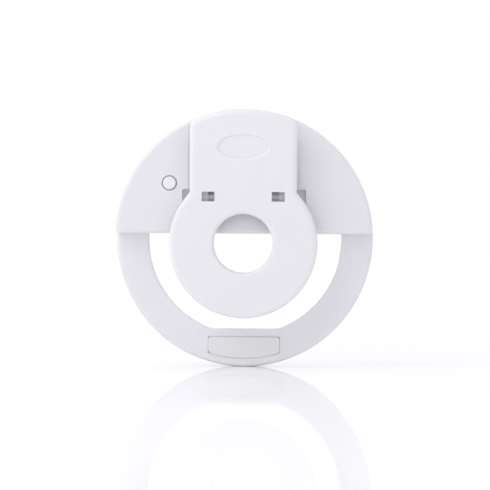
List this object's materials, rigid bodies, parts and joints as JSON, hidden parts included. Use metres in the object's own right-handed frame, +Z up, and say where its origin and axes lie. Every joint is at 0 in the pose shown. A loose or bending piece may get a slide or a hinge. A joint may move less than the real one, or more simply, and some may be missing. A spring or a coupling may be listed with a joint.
{
  "type": "clip-on selfie ring light",
  "caption": "Round clip-on light for a phone: a ring of lamps under a crowned cover, a half-moon battery housing behind its upper half, and a sprung clip with a camera hole.",
  "frame": {"origin": "on the ring's axis, in the plane of the ring's back, where the phone rests", "axes": "+Y the way the lamps shine, -Y towards the clip, +Z up to the thumb tab, +X right seen from behind"},
  "size_m": [0.085, 0.0267, 0.085],
  "materials": {
    "casing_plastic": "satin white moulded ABS",
    "clip_plastic": "satin white moulded ABS",
    "button_plastic": "satin white moulded ABS",
    "diffuser_plastic": "frosted clear polycarbonate",
    "silicone": "matte translucent silicone",
    "foam_pad": "matte silicone",
    "spring_steel": "drawn wire",
    "pin_steel": "ground rod",
    "screw_steel": "zinc plated",
    "socket_steel": "nickel plated sheet",
    "board_white": "white solder mask",
    "board_green": "green solder mask",
    "lamp_body": "phosphor gel in a white package",
    "chip_black": "moulded epoxy",
    "resistor_ceramic": "glazed ceramic",
    "lamp_red": "clear tinted epoxy",
    "cell_foil": "crinkled aluminium laminate",
    "foam_tape": "double-sided foam tape",
    "lead_insulation": "PVC insulation",
    "tongue_black": "moulded LCP",
    "plunger_black": "moulded POM"
  },
  "bodies": {
    "light_body": {"rear_shell": "casing_plastic", "front_shell": "casing_plastic", "casing_screws": "screw_steel", "light_diffuser": "diffuser_plastic", "led_board": "board_white", "led_chips": "lamp_body", "led_resistors": "resistor_ceramic", "led_leads": "lead_insulation", "main_board": "board_green", "board_screws": "screw_steel", "controller_chip": "chip_black", "charge_lamp": "lamp_red", "board_passives": "resistor_ceramic", "usb_socket_shell": "socket_steel", "usb_contact_tongue": "tongue_black", "switch_housing": "chip_black", "battery_cell": "cell_foil", "battery_tape": "foam_tape", "battery_guard_board": "board_green", "battery_leads": "lead_insulation", "hinge_pin": "pin_steel", "clip_spring": "spring_steel", "ring_pad": "silicone"},
    "clip": {"clip_lever": "clip_plastic", "clip_pad": "foam_pad"},
    "power_button": {"button_cap": "button_plastic", "switch_plunger": "plunger_black"}
  },
  "joints": [
    {"name": "clip_hinge", "type": "hinge", "parent": "light_body", "child": "clip", "pos_m": [0, -0.0095, 0.0132], "axis": [-1, 0, 0], "range_deg": [0, 16.5], "stiffness_Nm_per_rad": 0.12, "springref_deg": -37.24, "deforming": ["clip_spring"]},
    {"name": "button_press", "type": "slide", "parent": "light_body", "child": "power_button", "axis": [0, 1, 0], "range_m": [0, 0.00035], "stiffness_N_per_m": 3000, "springref_m": -0.0003}
  ]
}
